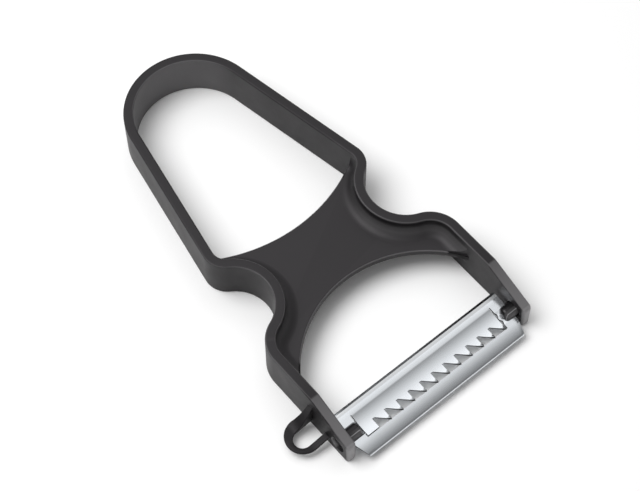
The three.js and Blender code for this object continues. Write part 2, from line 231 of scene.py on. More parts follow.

# %% [markdown]
# Painted highlights go on the rounded edges of the rim near the neck and on the web's free edges,
# painted light goes in the hollows beside the neck, and the gouge loop gets painted shade.
# An edge's round shows by its height and its slant, so no hand-painted map is needed. All of these
# masks are matched to the picture and aren't measured from the plastic.

# %% Painted highlights on edges, painted light in hollows, painted shade round the loop
RIM_EDGE, WEB_EDGE = (11.82 * MM, 0.16 * MM), (7.4 * MM, 0.17 * MM)
NECK_RIM_Y, RIM_HIGHLIGHT_SHARE, WEB_HALF = (-42 * MM, -60 * MM), 0.55, 23 * MM
# Painted highlight colour for the rounded edges of the rim and the web.
EDGE_SLANT, EDGE_HIGHLIGHT = (0.6, 0.35), (0.11, 0.107, 0.11, 1)
HOLLOW_FOOT, HOLLOW_TOP, HOLLOW_SLANT = (7.65 * MM, 8.6 * MM), 11.6 * MM, (0.02, 0.3)
# Painted light in the hollows beside the neck.
FINGERS_Y, SHOULDERS_Y, HOLLOW_LIGHT = (-56 * MM, -66 * MM), -88 * MM, (0.06, 0.058, 0.06, 1)
# Where the painted shade goes: the gouge loop and the arm's outer face beside it.
LOOP_BACK, LOOP_FRONT = (-90 * MM, -93.5 * MM), (-103 * MM, -101 * MM)
ARM_OUTSIDE = (-28.0 * MM, -28.25 * MM)


def add_painted_edge_light(tree, colour):
    here = add(tree, "ShaderNodeTexCoord").outputs
    at, up = axes(tree, here["Object"]), axes(tree, here["Normal"])["Z"]
    rim = work_out(tree, "COMPARE", at["Z"], *RIM_EDGE)
    rim = product(tree, rim, ramp(tree, at["Y"], *NECK_RIM_Y, 0, RIM_HIGHLIGHT_SHARE))
    web = work_out(tree, "COMPARE", at["Z"], *WEB_EDGE)
    web = product(tree, web, work_out(tree, "COMPARE", at["X"], 0, WEB_HALF))
    slanted = work_out(tree, "COMPARE", up, *EDGE_SLANT)
    edge = product(tree, work_out(tree, "MAXIMUM", rim, web), slanted)
    # Painted highlight on the rounded edges.
    colour = blend(tree, edge, colour, EDGE_HIGHLIGHT)
    foot = ramp(tree, at["Z"], *HOLLOW_FOOT)
    below_rim = work_out(tree, "LESS_THAN", at["Z"], HOLLOW_TOP)
    behind_arms = work_out(tree, "GREATER_THAN", at["Y"], SHOULDERS_Y)
    lean, fingers = ramp(tree, up, *HOLLOW_SLANT), ramp(tree, at["Y"], *FINGERS_Y)
    hollow = product(tree, foot, below_rim, behind_arms, lean, fingers)
    # Painted light in the hollows beside the neck.
    return blend(tree, hollow, colour, HOLLOW_LIGHT)


# Mask for the painted shade round the gouge loop.
def shade_round_loop(tree):
    at = axes(tree, add(tree, "ShaderNodeTexCoord").outputs["Object"])
    near = product(tree, ramp(tree, at["Y"], *LOOP_BACK), ramp(tree, at["Y"], *LOOP_FRONT))
    return product(tree, near, ramp(tree, at["X"], *ARM_OUTSIDE))


print("paler edges, height and half width: rim", in_mm(RIM_EDGE, 2), "web", in_mm(WEB_EDGE, 2))

# %% [markdown]
# The frame is a moulded black plastic with a satin skin. Such a skin has a very fine grain from the
# eroded mould, a slightly uneven gloss and edges that wear a little paler. The grain and the
# unevenness are noise on object coordinates, and the edge mask is the pointiness of the mesh. The
# pins are moulded too, but glossier and with a coarser, shallower grain.

# %% Satin black plastic
CLOUD = {"Scale": 180, "Detail": 4, "Roughness": 0.55}
WORN_EDGE, WORN_SHARE, WORN_PALE = (0.53, 0.6), 0.3, (0.03, 0.028, 0.03, 1)
# Painted shade round the gouge loop: a darker colour and less sheen.
SHEEN, LOOP_SHADE_SHEEN, LOOP_SHADE = 0.28, 0.19, (0.0096, 0.009, 0.0096, 1)
NOISE_SPAN, GLOSS_SPREAD, SKIN_TINT = (0.3, 0.7), 0.04, (1, 0.965, 1, 1)


def plastic(name, dark, pale, gloss, grain_size, grain_depth, front_light_share, pin_highlight_colour=None):
    material, tree = empty_material(name)
    place = add(tree, "ShaderNodeTexCoord").outputs["Object"]
    cloud = add(tree, "ShaderNodeTexNoise", {"Vector": place, **CLOUD}).outputs["Fac"]
    edge = add(tree, "ShaderNodeNewGeometry").outputs["Pointiness"]
    worn = ramp(tree, edge, *WORN_EDGE, 0, WORN_SHARE)
    colour = blend(tree, worn, blend(tree, cloud, dark, pale), WORN_PALE)
    # Painted front light on both plastics, and on the pins a painted highlight line.
    colour = add_painted_front_light(tree, colour, front_light_share, pin_highlight_colour)
    sheen = SHEEN
    if not pin_highlight_colour:
        # Painted edge highlights and painted light in the hollows, on the frame only.
        colour = add_painted_edge_light(tree, colour)
        # Painted shade round the gouge loop, in the colour and in the sheen.
        loop = shade_round_loop(tree)
        colour = blend(tree, loop, colour, LOOP_SHADE)
        sheen = ramp(tree, loop, 0, 1, SHEEN, LOOP_SHADE_SHEEN)
    rough = ramp(tree, cloud, *NOISE_SPAN, gloss - GLOSS_SPREAD, gloss + GLOSS_SPREAD)
    fine = {"Vector": place, "Scale": 1 / (grain_size * MM), "Detail": 3, "Roughness": 0.6}
    grain = add(tree, "ShaderNodeTexNoise", fine).outputs["Fac"]
    relief = {"Height": grain, "Strength": 0.35, "Distance": grain_depth * MM}
    bump = add(tree, "ShaderNodeBump", relief)
    skin = add(tree, "ShaderNodeBsdfPrincipled", {
        "Base Color": colour, "Roughness": rough, "Normal": bump.outputs["Normal"],
        "Specular IOR Level": sheen, "Specular Tint": SKIN_TINT})
    add(tree, "ShaderNodeOutputMaterial", {"Surface": skin.outputs[0]})
    print("material", name, "with", len(tree.nodes), "nodes")
    return material


# Each plastic's share of painted front light: all of it on the frame, 0.35 of it on the pins.
satin_black = plastic("satin_black", (0.012, 0.0112, 0.012, 1), (0.016, 0.0149, 0.016, 1),
                      gloss=0.48, grain_size=0.22, grain_depth=0.02, front_light_share=1)
# The pins carry a pale grey painted highlight line.
pin_black = plastic("pin_black", (0.006, 0.006, 0.0065, 1), (0.009, 0.009, 0.0095, 1),
                    gloss=0.27, grain_size=0.3, grain_depth=0.006, front_light_share=0.35,
                    pin_highlight_colour=(0.3, 0.3, 0.31, 1))

# %% [markdown]
# The blade is rolled stainless steel, nearly a mirror, with faint lines left by the rollers along
# its length. Noise stretched along the blade gives the lines, once in the roughness and once in a
# very shallow bump. The pattern is turned with the blade's own tilt. A band along the back edge is
# ground across, so it is duller and its lines run the other way. The edges where the sheet was
# sheared are darker and rougher still.

# %% Rolled, ground and sheared stainless steel
BLADE_TILT = radians(8.3)
TIGHT, LONG = 5200, 60


def stainless(name, dark, pale, smooth, coarse, stretch, depth):
    material, tree = empty_material(name)
    place = add(tree, "ShaderNodeTexCoord").outputs["Object"]
    lay = add(tree, "ShaderNodeMapping", {"Vector": place, "Rotation": (BLADE_TILT, 0, 0)},
              vector_type="TEXTURE").outputs["Vector"]
    stretched = add(tree, "ShaderNodeMapping", {"Vector": lay, "Scale": stretch}).outputs["Vector"]
    drawn = {"Vector": stretched, "Scale": 1, "Detail": 3, "Roughness": 0.6}
    lines = add(tree, "ShaderNodeTexNoise", drawn).outputs["Fac"]
    spread = {"Vector": place, "Scale": 160, "Detail": 3}
    cloud = add(tree, "ShaderNodeTexNoise", spread).outputs["Fac"]
    rough = ramp(tree, lines, *NOISE_SPAN, smooth, coarse)
    bump = add(tree, "ShaderNodeBump", {"Height": lines, "Strength": 0.12, "Distance": depth * MM})
    metal = add(tree, "ShaderNodeBsdfPrincipled", {
        "Base Color": blend(tree, cloud, dark, pale), "Metallic": 1.0, "Roughness": rough,
        "Normal": bump.outputs["Normal"]})
    add(tree, "ShaderNodeOutputMaterial", {"Surface": metal.outputs[0]})
    print("material", name, "with", len(tree.nodes), "nodes")
    return material


steel = stainless("rolled_steel", (0.69, 0.72, 0.755, 1), (0.76, 0.785, 0.81, 1),
                  smooth=0.12, coarse=0.2, stretch=(40, TIGHT, TIGHT), depth=0.006)
ground = stainless("ground_steel", (0.50, 0.515, 0.53, 1), (0.58, 0.59, 0.60, 1),
                   smooth=0.26, coarse=0.36, stretch=(TIGHT, LONG, TIGHT), depth=0.01)
sheared = stainless("sheared_steel", (0.13, 0.133, 0.137, 1), (0.18, 0.183, 0.187, 1),
                    smooth=0.42, coarse=0.55, stretch=(TIGHT, TIGHT, LONG), depth=0.01)

# %% [markdown]
# The frame is one strip of wall that runs round the handle, in at the neck, out over the shoulders
# and down the two arms. On a drawing board it is straight lines and arcs, each tangent to the next.
# The wall's section can be carried along that line with the same two moves: pulled straight, and
# spun round the centre of each arc. That gives even quads and exact arcs.

# %% The frame's line: sizes, and the centres of its arcs
HEIGHT, WALL = 12 * MM, 2.5 * MM
END_RADIUS, CORNER_RADIUS, NECK_RADIUS, SHOULDER_RADIUS = 17.3 * MM, 6 * MM, 9.85 * MM, 8.6 * MM
SHOULDER_STEPS, NECK_STEPS, CORNER_STEPS, END_STEPS = 24, 40, 20, 44
TAPER = radians(10.35)
ARM_SPAN = 28.3 * MM
TIP_Y = -108.15 * MM
PIVOT = Vector((0, TIP_Y + 3.75 * MM, 3.9 * MM))
end = Vector((0, -16.05, 0)) * MM
neck = Vector((26.6, -64.7, 0)) * MM
side = Vector((cos(TAPER), sin(TAPER), 0))
up_side = Vector((-side.y, side.x, 0))
start = end + side * (END_RADIUS - CORNER_RADIUS)
reach = NECK_RADIUS + CORNER_RADIUS
along = (start - neck).dot(-up_side)
run = -along - sqrt(along ** 2 - (start - neck).length_squared + reach ** 2)
corner = start - up_side * run
shoulder = Vector((ARM_SPAN - SHOULDER_RADIUS, 0, 0))
shoulder.y = neck.y - sqrt((NECK_RADIUS + SHOULDER_RADIUS) ** 2 - (neck.x - shoulder.x) ** 2)
corner_turn = atan2(neck.y - corner.y, neck.x - corner.x)
shoulder_turn = atan2(neck.y - shoulder.y, neck.x - shoulder.x)
print("corner", in_mm(corner, 2), "shoulder", in_mm(shoulder, 2))


# %% Carrying a shape along the frame's line
def kinds(geometry, kind):
    return [item for item in geometry if isinstance(item, kind)]


def pull(bm, shape, offset):
    edges = kinds(shape, BMEdge)
    if edges:
        made = bmesh.ops.extrude_edge_only(bm, edges=edges)["geom"]
    else:
        made = bmesh.ops.extrude_vert_indiv(bm, verts=kinds(shape, BMVert))["verts"]
    bmesh.ops.translate(bm, verts=kinds(made, BMVert), vec=offset)
    return kinds(made, (BMVert, BMEdge)) if edges else made


def bend(bm, shape, centre, angle, steps, axis=(0, 0, 1)):
    done = bmesh.ops.spin(bm, geom=shape, cent=centre, axis=axis, angle=angle, steps=steps,
                          use_duplicate=False)
    return kinds(done["geom_last"], (BMVert, BMEdge))


def follow_wall(bm, shape, from_y, handle_run):
    shape = pull(bm, shape, (0, shoulder.y - from_y, 0))
    shape = bend(bm, shape, shoulder, shoulder_turn, SHOULDER_STEPS)
    shape = bend(bm, shape, neck, corner_turn - shoulder_turn, NECK_STEPS)
    shape = bend(bm, shape, corner, TAPER - corner_turn, CORNER_STEPS)
    return pull(bm, shape, up_side * handle_run)


def outward(bm):
    bmesh.ops.remove_doubles(bm, verts=bm.verts, dist=NEAR)
    bmesh.ops.recalc_face_normals(bm, faces=bm.faces)


def everything(bm):
    return bm.verts[:] + bm.edges[:] + bm.faces[:]


def rounded(bm, edges, offset, segments, clamp=False):
    bmesh.ops.bevel(bm, geom=edges, offset=offset, offset_type="OFFSET", segments=segments,
                    profile=0.5, affect="EDGES", material=-1, clamp_overlap=clamp)


print("handle straight", round(run / MM, 2), "mm long")

# %% [markdown]
# The wall itself: a 2.5 by 12 mm section starts at the tip of the right arm, runs to the middle of
# the handle's end, and is mirrored. The arm's top slopes down to a rounded nose. A real mould has
# those as milled faces, so here planes cut them: one for the slope and a fan of planes, all tangent
# to the same small circle, for the nose. Every long edge is then rounded at once.

# %% The wall's section, carried from the arm's tip to the handle's end
SLOPE, NOSE_RADIUS, NOSE_CUTS = radians(21), 1.8 * MM, 8
CREASE_Y = TIP_Y + 13.25 * MM
TIP_ROUND, TIP_STEPS, RIM_ROUND, RIM_STEPS = 0.8 * MM, 6, 0.4 * MM, 4
WALL_SHARP, LEAST_UPRIGHT = radians(35), 1 * MM

wall = bmesh.new()
placed = Matrix.Translation((ARM_SPAN - WALL / 2, TIP_Y, HEIGHT / 2))
placed = placed @ Matrix.Rotation(pi / 2, 4, "X") @ Matrix.Diagonal((WALL, HEIGHT, 1, 1))
bmesh.ops.create_grid(wall, x_segments=1, y_segments=1, size=0.5, matrix=placed)
bmesh.ops.delete(wall, geom=wall.faces[:], context="FACES_ONLY")
tip_ring = wall.edges[:]
last = follow_wall(wall, wall.verts[:] + tip_ring, TIP_Y, run)
bend(wall, last, end, pi / 2 - TAPER, END_STEPS)
bmesh.ops.contextual_create(wall, geom=tip_ring)
outward(wall)
print("half of the wall", len(wall.faces), "faces")


# %% The arm's slope and nose, the mirror and the rounded edges
def cut_above(bm, point, normal):
    cut = bmesh.ops.bisect_plane(bm, geom=everything(bm), dist=FINEST, plane_co=point,
                                 plane_no=normal, clear_outer=True)
    bmesh.ops.contextual_create(bm, geom=kinds(cut["geom_cut"], BMEdge))


def is_upright(edge):
    one, other = (v.co for v in edge.verts)
    at_tip = all(abs(co.y - TIP_Y) < NEAR for co in (one, other))
    return at_tip and abs(one.z - other.z) > LEAST_UPRIGHT


rounded(wall, [e for e in wall.edges if is_upright(e)], TIP_ROUND, TIP_STEPS)
cut_above(wall, (0, CREASE_Y, HEIGHT), Vector((0, -sin(SLOPE), cos(SLOPE))))
nose_y = TIP_Y + NOSE_RADIUS
nose_z = HEIGHT - (CREASE_Y - nose_y) * tan(SLOPE) - NOSE_RADIUS / cos(SLOPE)
for step in range(1, NOSE_CUTS):
    lean = SLOPE + (pi / 2 - SLOPE) * step / NOSE_CUTS
    normal = Vector((0, -sin(lean), cos(lean)))
    cut_above(wall, Vector((0, nose_y, nose_z)) + normal * NOSE_RADIUS, normal)
bmesh.ops.mirror(wall, geom=everything(wall), axis="X", merge_dist=NEAR)
outward(wall)
sharp = [e for e in wall.edges if e.is_manifold and e.calc_face_angle() > WALL_SHARP]
rounded(wall, sharp, RIM_ROUND, RIM_STEPS)
print("wall", len(wall.verts), "vertices,", len(sharp), "edges rounded")

# %% [markdown]
# Each arm has a round hole for its pin. The flat side of the arm is taken out, a circle is drawn in
# it, and the ring between is filled again. The circle is drawn in a little to break its edge, and
# the two circles of an arm are bridged to make the bore.

# %% The pin holes
HOLE_RADIUS, HOLE_BREAK, HOLE_STEPS, FACES_SIDE = 2.1 * MM, 0.05 * MM, 64, 0.999
shrink = HOLE_RADIUS / (HOLE_RADIUS + HOLE_BREAK)


def ring_at(bm, x, radius):
    turned = Matrix.Translation((x, PIVOT.y, PIVOT.z)) @ Matrix.Rotation(pi / 2, 4, "Y")
    made = bmesh.ops.create_circle(bm, segments=HOLE_STEPS, radius=radius, matrix=turned)["verts"]
    return list({e for v in made for e in v.link_edges})


def arm_side(bm, x):
    flat = [f for f in bm.faces if abs(f.normal.x) > FACES_SIDE]
    flat = [f for f in flat if abs(f.calc_center_median().x - x) < NEAR]
    on_arm = (f for f in flat if f.calc_center_median().y < shoulder.y)
    return max(on_arm, key=lambda f: f.calc_area())


for hand in (-1, 1):
    bores = []
    for x, inwards in ((hand * ARM_SPAN, -hand), (hand * (ARM_SPAN - WALL), hand)):
        face = arm_side(wall, x)
        border = list(face.edges)
        bmesh.ops.delete(wall, geom=[face], context="FACES_ONLY")
        mouth = ring_at(wall, x, HOLE_RADIUS + HOLE_BREAK)
        bmesh.ops.triangle_fill(wall, edges=border + mouth, use_beauty=True, use_dissolve=False)
        bore = bmesh.ops.extrude_edge_only(wall, edges=mouth)["geom"]
        inner = kinds(bore, BMVert)
        bmesh.ops.translate(wall, verts=inner, vec=(inwards * HOLE_BREAK, 0, 0))
        bmesh.ops.scale(wall, verts=inner, vec=(1, shrink, shrink), space=Matrix.Translation(-PIVOT))
        bores += kinds(bore, BMEdge)
    bmesh.ops.bridge_loops(wall, edges=bores)
outward(wall)
open_edges = sum(not e.is_manifold for e in wall.edges)
print("wall with holes", len(wall.faces), "faces, open edges", open_edges)

# %% [markdown]
# Between the necks lies a thin web that stiffens the frame. It meets the wall in a wide fillet on
# top and a smaller one below, and its two free edges are arcs. The fillet is a small section that
# follows the wall's line, like a bead of filler drawn along it with a finger. The plate fills the
# middle. The two arcs are then turned out with round cutters, whose waist leaves the free edge
# rounded.

# %% The web's plate, before trimming
WEB_TOP, WEB_THICKNESS, WEB_FILLET, UNDER_FILLET = 7.6 * MM, 2 * MM, 3 * MM, 1.5 * MM
WEB_LOW = WEB_TOP - WEB_THICKNESS
WEB_FROM_Y, WEB_RUN, SUNK = -91.5 * MM, 3 * MM, 0.5 * MM
inner_x = ARM_SPAN - WALL


def as_object(bm, name):
    mesh = bpy.data.meshes.new(name)
    bm.to_mesh(mesh)
    bm.free()
    made = bpy.data.objects.new(name, mesh)
    scene.collection.objects.link(made)
    return made


plate = bmesh.new()
point = plate.verts.new((inner_x + SUNK, WEB_FROM_Y, WEB_LOW))
follow_wall(plate, [point], WEB_FROM_Y, WEB_RUN)
bmesh.ops.mirror(plate, geom=plate.verts[:] + plate.edges[:], axis="X", merge_dist=FINE)
loose = [v for v in plate.verts if len(v.link_edges) == 1]
for extreme in (min, max):
    row_y = extreme(v.co.y for v in loose)
    plate.edges.new([v for v in loose if abs(v.co.y - row_y) < NEAR])
floor_face = bmesh.ops.contextual_create(plate, geom=plate.edges[:])["faces"]
raised = bmesh.ops.extrude_face_region(plate, geom=floor_face)["geom"]
bmesh.ops.translate(plate, verts=kinds(raised, BMVert), vec=(0, 0, WEB_THICKNESS))
outward(plate)
print("plate", len(plate.faces), "faces")

# %% The fillets' section, drawn along the wall
FILLET_STEPS, UNDER_STEPS = 14, 8
bead = bmesh.new()
top_x, under_x = inner_x - WEB_FILLET, inner_x - UNDER_FILLET
top_foot = bead.verts.new((top_x, WEB_FROM_Y, WEB_TOP))
top_centre = (top_x, WEB_FROM_Y, WEB_TOP + WEB_FILLET)
arc_end = bend(bead, [top_foot], top_centre, -pi / 2, FILLET_STEPS, axis=(0, 1, 0))
under_foot = bead.verts.new((under_x, WEB_FROM_Y, WEB_LOW))
under_centre = (under_x, WEB_FROM_Y, WEB_LOW - UNDER_FILLET)
under_end = bend(bead, [under_foot], under_centre, pi / 2, UNDER_STEPS, axis=(0, 1, 0))
back_top = pull(bead, arc_end, (SUNK, 0, 0))
back_low = pull(bead, under_end, (SUNK, 0, 0))
foot_low = pull(bead, [top_foot], (0, 0, -WEB_THICKNESS / 2))
foot_up = pull(bead, [under_foot], (0, 0, WEB_THICKNESS / 2))
bead.edges.new((back_top[0], back_low[0]))
bead.edges.new((foot_low[0], foot_up[0]))
first_edges = bead.edges[:]
last = follow_wall(bead, bead.verts[:] + first_edges, WEB_FROM_Y, WEB_RUN)
bmesh.ops.contextual_create(bead, geom=first_edges)
bmesh.ops.contextual_create(bead, geom=kinds(last, BMEdge))
outward(bead)
left_bead = bead.copy()
bmesh.ops.scale(left_bead, verts=left_bead.verts, vec=(-1, 1, 1))
outward(left_bead)
print("bead section", len(first_edges), "edges")

# %% Trimming the web with two round cutters
HANDLE_ARC, BLADE_ARC, EDGE_ROUND = 42 * MM, 30.1 * MM, 0.4 * MM
HANDLE_ARC_Y, CUTTER_TOP, CUTTER_DEPTH = -14.05 * MM, 20 * MM, 20 * MM
ROUND_STEPS, CUTTER_STEPS = 5, 240


def waisted_cutter(name, radius, y):
    bm = bmesh.new()
    wide = radius + EDGE_ROUND
    path = pull(bm, [bm.verts.new((0, y, CUTTER_TOP))], (wide, 0, 0))
    path = pull(bm, path, (0, 0, WEB_TOP - CUTTER_TOP))
    path = bend(bm, path, (wide, y, WEB_TOP - EDGE_ROUND), -pi / 2, ROUND_STEPS, axis=(0, 1, 0))
    path = pull(bm, path, (0, 0, 2 * EDGE_ROUND - WEB_THICKNESS))
    path = bend(bm, path, (wide, y, WEB_LOW + EDGE_ROUND), -pi / 2, ROUND_STEPS, axis=(0, 1, 0))
    path = pull(bm, path, (0, 0, -CUTTER_DEPTH))
    pull(bm, path, (-wide, 0, 0))
    bmesh.ops.spin(bm, geom=bm.verts[:] + bm.edges[:], cent=(0, y, 0), axis=(0, 0, 1),
                   angle=2 * pi, steps=CUTTER_STEPS, use_merge=True)
    outward(bm)
    return as_object(bm, name)


def trimmed(bm, name, cutters):
    made = as_object(bm, name)
    for cutter in cutters:
        step = made.modifiers.new("trim", "BOOLEAN")
        step.operation = "DIFFERENCE"
        step.solver = "EXACT"
        step.object = cutter
    graph = bpy.context.evaluated_depsgraph_get()
    mesh = bpy.data.meshes.new_from_object(made.evaluated_get(graph))
    bpy.data.objects.remove(made)
    return mesh


cutters = [waisted_cutter("handle_cutter", HANDLE_ARC, HANDLE_ARC_Y),
           waisted_cutter("blade_cutter", BLADE_ARC, PIVOT.y)]
web_meshes = [trimmed(part, "web", cutters) for part in (plate, bead, left_bead)]
for cutter in cutters:
    bpy.data.objects.remove(cutter)
print("web", [len(m.polygons) for m in web_meshes], "faces after trimming")

# %% [markdown]
# On the left arm sits a small scoop for digging out potato eyes: a thin ribbon bent to a loop, which
# stands about 2 mm above the table, with a rib that climbs the arm on the handle's side. A ring
# between two outlines is drawn flat, raised to the ribbon's height and thickness, and its upper
# edges are then lifted to the heights of the rib.

# %% The eye gouge
LOOP_Y, LOOP_X, LOOP_RADIUS = TIP_Y + 10.9 * MM, -ARM_SPAN - 4.1 * MM, 4.45 * MM
SCOOP_Y, SCOOP_X, SCOOP_RADIUS = TIP_Y + 10.3 * MM, -ARM_SPAN - 4.8 * MM, 2.2 * MM
LOOP_ROOT, LOOP_END, LOOP_FALL, LOOP_THICK = 3.2 * MM, 2.5 * MM, 4.2 * MM, 0.7 * MM
RIB_HEIGHT, RIB_LENGTH, RIB_SAG = 9.4 * MM, 5.6 * MM, 2.5 * MM
RIB_OUTER, RIB_LEAN, RIB_FROM = 0.85, 1.2 * MM, 0.5 * MM
LOOP_SHARP, LOOP_BREAK, BREAK_STEPS = radians(30), 0.18 * MM, 3
LEG_STEPS, LOOP_STEPS, LEAST_RUN = 12, 32, 1e-5
loop_root = -ARM_SPAN + 0.6 * MM


def hairpin(bm, x, y, radius):
    line = [bm.verts.new((loop_root, y - radius, 0))]
    for part in range(LEG_STEPS):
        line = pull(bm, line, ((x - loop_root) / LEG_STEPS, 0, 0))
    line = bend(bm, line, (x, y, 0), -pi, LOOP_STEPS)
    for part in range(LEG_STEPS):
        line = pull(bm, line, ((loop_root - x) / LEG_STEPS, 0, 0))


def outwards(x, length):
    return min(max(-ARM_SPAN - x, 0) / length, 1)


def ring_height(x):
    return LOOP_ROOT + (LOOP_END - LOOP_ROOT) * outwards(x, LOOP_FALL)


def rib_height(x):
    share = RIB_SAG / RIB_LENGTH
    flat = 1 - 2 * share
    t = (-share + sqrt(share ** 2 + flat * outwards(x, RIB_LENGTH))) / flat
    return RIB_HEIGHT * (1 - t) ** 2 + LOOP_END * (1 - (1 - t) ** 2)


def is_free_edge(edge):
    one, other = (v.co for v in edge.verts)
    runs = abs(one.y - other.y) + abs(one.x - other.x) > LEAST_RUN
    return runs and one.x < -ARM_SPAN and other.x < -ARM_SPAN


gouge = bmesh.new()
hairpin(gouge, LOOP_X, LOOP_Y, LOOP_RADIUS)
hairpin(gouge, SCOOP_X, SCOOP_Y, SCOOP_RADIUS)
flat = bmesh.ops.bridge_loops(gouge, edges=gouge.edges[:])["faces"]
raised = kinds(bmesh.ops.extrude_face_region(gouge, geom=flat)["geom"], BMVert)
for v in gouge.verts:
    v.co.z = ring_height(v.co.x) - LOOP_THICK
for v in raised:
    from_scoop = hypot(max(SCOOP_X - v.co.x, 0), v.co.y - SCOOP_Y)
    inner = abs(from_scoop - SCOOP_RADIUS) < NEAR
    v.co.z += LOOP_THICK
    if v.co.y > (SCOOP_Y if inner else LOOP_Y):
        v.co.z += max(rib_height(v.co.x) - v.co.z, 0) * (1 if inner else RIB_OUTER)
for v in gouge.verts:
    if v.co.y > LOOP_Y + SCOOP_RADIUS + RIB_FROM:
        v.co.y -= RIB_LEAN * (1 - outwards(v.co.x, LOOP_FALL))
outward(gouge)
sharp = [e for e in gouge.edges if e.is_manifold and e.calc_face_angle() > LOOP_SHARP]
rounded(gouge, [e for e in sharp if is_free_edge(e)], LOOP_BREAK, BREAK_STEPS, clamp=True)
outward(gouge)
print("gouge", len(gouge.faces), "faces")

# %% [markdown]
# One mould makes the whole frame, so its wall, web and gouge become one piece. It takes the place of
# the frame's solid and stays on the frame's body. Weighted normals keep the wide faces flat in the
# light where they meet a small round.

# %% Join the frame's shapes into one piece
SMOOTH_BELOW = radians(32)


def dressed(bm, name, material, body, slot, *nodes):
    made = as_object(bm, name)
    made.data.materials.append(material)
    made.data.shade_smooth()
    made.data.set_sharp_from_angle(angle=SMOOTH_BELOW)
    even = made.modifiers.new("even_normals", "WEIGHTED_NORMAL")
    even.keep_sharp = True
    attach(made, body)
    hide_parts(*nodes)
    return made


loop_mesh = bpy.data.meshes.new("loop")
gouge.to_mesh(loop_mesh)
gouge.free()
for mesh in web_meshes + [loop_mesh]:
    wall.from_mesh(mesh)
    bpy.data.meshes.remove(mesh)
frame_piece = dressed(wall, "moulded_frame", satin_black, "frame_body", "frame_plastic", "frame")
print("moulded_frame", len(frame_piece.data.polygons), "faces", in_mm(frame_piece.dimensions))

# %% [markdown]
# The blade is one piece of sheet, 0.6 mm thick. A press punches the window, leaves a tongue hanging
# from the back rail, cuts the tongue's edge into teeth, dishes it and lifts the tooth tips, presses a
# half-round seat in each end for the pin, and curls the front lip down. The right seat is short and
# stops well before the window. So the top side is drawn first as a surface: its section is pulled
# across from end to end, the window's faces are taken out, and the tongue is spun down from the
# rail. Solidify then gives the sheet its gauge.

# %% Blade sizes
SHEET, SHEET_TOP = 0.6 * MM, -0.15 * MM
RAIL_BACK, RAIL_WIDTH = 6.05 * MM, 2.61 * MM
GRIND, GRIND_DROP, EDGE, EDGE_DROP = 0.8 * MM, 0.07 * MM, 0.65 * MM, 0.54 * MM
GRIND_END = RAIL_BACK - EDGE - GRIND
FOLD = RAIL_BACK - RAIL_WIDTH
STRIP_WIDTH, STRIP_DISH, TOOTH_DEPTH = 6.08 * MM, 0.27 * MM, 2.5 * MM
TOOTH_TIP = FOLD - STRIP_WIDTH
LIP_START, LIP_WIDTH, LIP_RADIUS, LIP_CURL = TOOTH_TIP - 0.3 * MM, 3.2 * MM, 16.5 * MM, 0.6 * MM
LIP_SLANT, CURL_TURN = 1.3 * MM, radians(70)
BLADE_END, WINDOW, STRIP_END = 25.1 * MM, 21.65 * MM, 21.3 * MM
WAVE_OUT, WAVE_IN = 0.3 * MM, 0.2 * MM
TEETH, LAND, ROOT_FLAT, TIP_FLAT, TOOTH_STEPS = 11, 3.3 * MM, 0.65 * MM, 0.25 * MM, 6
SEAT_RADIUS, SEAT_FROM, SEAT_STEP = 1.9 * MM, 23.9 * MM, 0.2 * MM
TIP_REACH, TIP_RISE, LIP_GAP = 0.85 * MM, 0.42 * MM, 0.05 * MM
SEAT_STEPS, LIP_STEPS, CURL_STEPS, DISH_STEPS = 20, 10, 8, 10
first = -STRIP_END + LAND
pitch = (STRIP_END - first) / TEETH
print("tooth pitch", round(pitch / MM, 3), "mm")

# %% The sheet's section, from the back edge to the lip
blade = bmesh.new()
line = [blade.verts.new((-BLADE_END, RAIL_BACK, SHEET_TOP - GRIND_DROP - EDGE_DROP))]
line = pull(blade, line, (0, -EDGE, EDGE_DROP))
line = pull(blade, line, (0, -GRIND, GRIND_DROP))
line = pull(blade, line, (0, FOLD - GRIND_END, 0))
seat_turn = asin(SHEET_TOP / SEAT_RADIUS)
seat_edge = SEAT_RADIUS * cos(seat_turn)
line = pull(blade, line, (0, seat_edge - FOLD, 0))
line = bend(blade, line, (-BLADE_END, 0, 0), -(pi + 2 * seat_turn), SEAT_STEPS, axis=(1, 0, 0))
line = pull(blade, line, (0, LIP_START + seat_edge, 0))
lip_turn = asin(LIP_WIDTH / LIP_RADIUS)
lip_centre = (-BLADE_END, LIP_START, SHEET_TOP - LIP_RADIUS)
line = bend(blade, line, lip_centre, lip_turn, LIP_STEPS, axis=(1, 0, 0))
curl_centre = line[0].co + Vector((0, sin(lip_turn), -cos(lip_turn))) * LIP_CURL
bend(blade, line, curl_centre, CURL_TURN, CURL_STEPS, axis=(1, 0, 0))
print("section", len(blade.edges), "edges")

# %% The sheet's top side, with its window and seats
stations = [-BLADE_END, -WINDOW, -STRIP_END, first]
for tooth in range(TEETH):
    stations += [first + tooth * pitch + ROOT_FLAT, first + (tooth + 1) * pitch]
stations[-1] = STRIP_END
stations += [WINDOW, SEAT_FROM - SEAT_STEP, SEAT_FROM, BLADE_END]
row = blade.verts[:] + blade.edges[:]
for here, there in zip(stations, stations[1:]):
    row = pull(blade, row, (there - here, 0, 0))
for v in [v for v in blade.verts if abs(v.co.y) < seat_edge]:
    if -WINDOW < v.co.x < SEAT_FROM - SEAT_STEP / 2:
        v.co.z = SHEET_TOP
    if abs(v.co.x - WINDOW) < FINE:
        across = v.co.y / seat_edge * pi
        v.co.x += WAVE_OUT * sin(across) ** 2 - WAVE_IN * cos(across / 2) ** 4


def in_window(face):
    middle = face.calc_center_median()
    return abs(middle.x) < WINDOW and LIP_START < middle.y < FOLD


punched = [f for f in blade.faces if in_window(f)]
bmesh.ops.delete(blade, geom=punched, context="FACES")
print("sheet", len(blade.faces), "faces,", len(punched), "punched out")

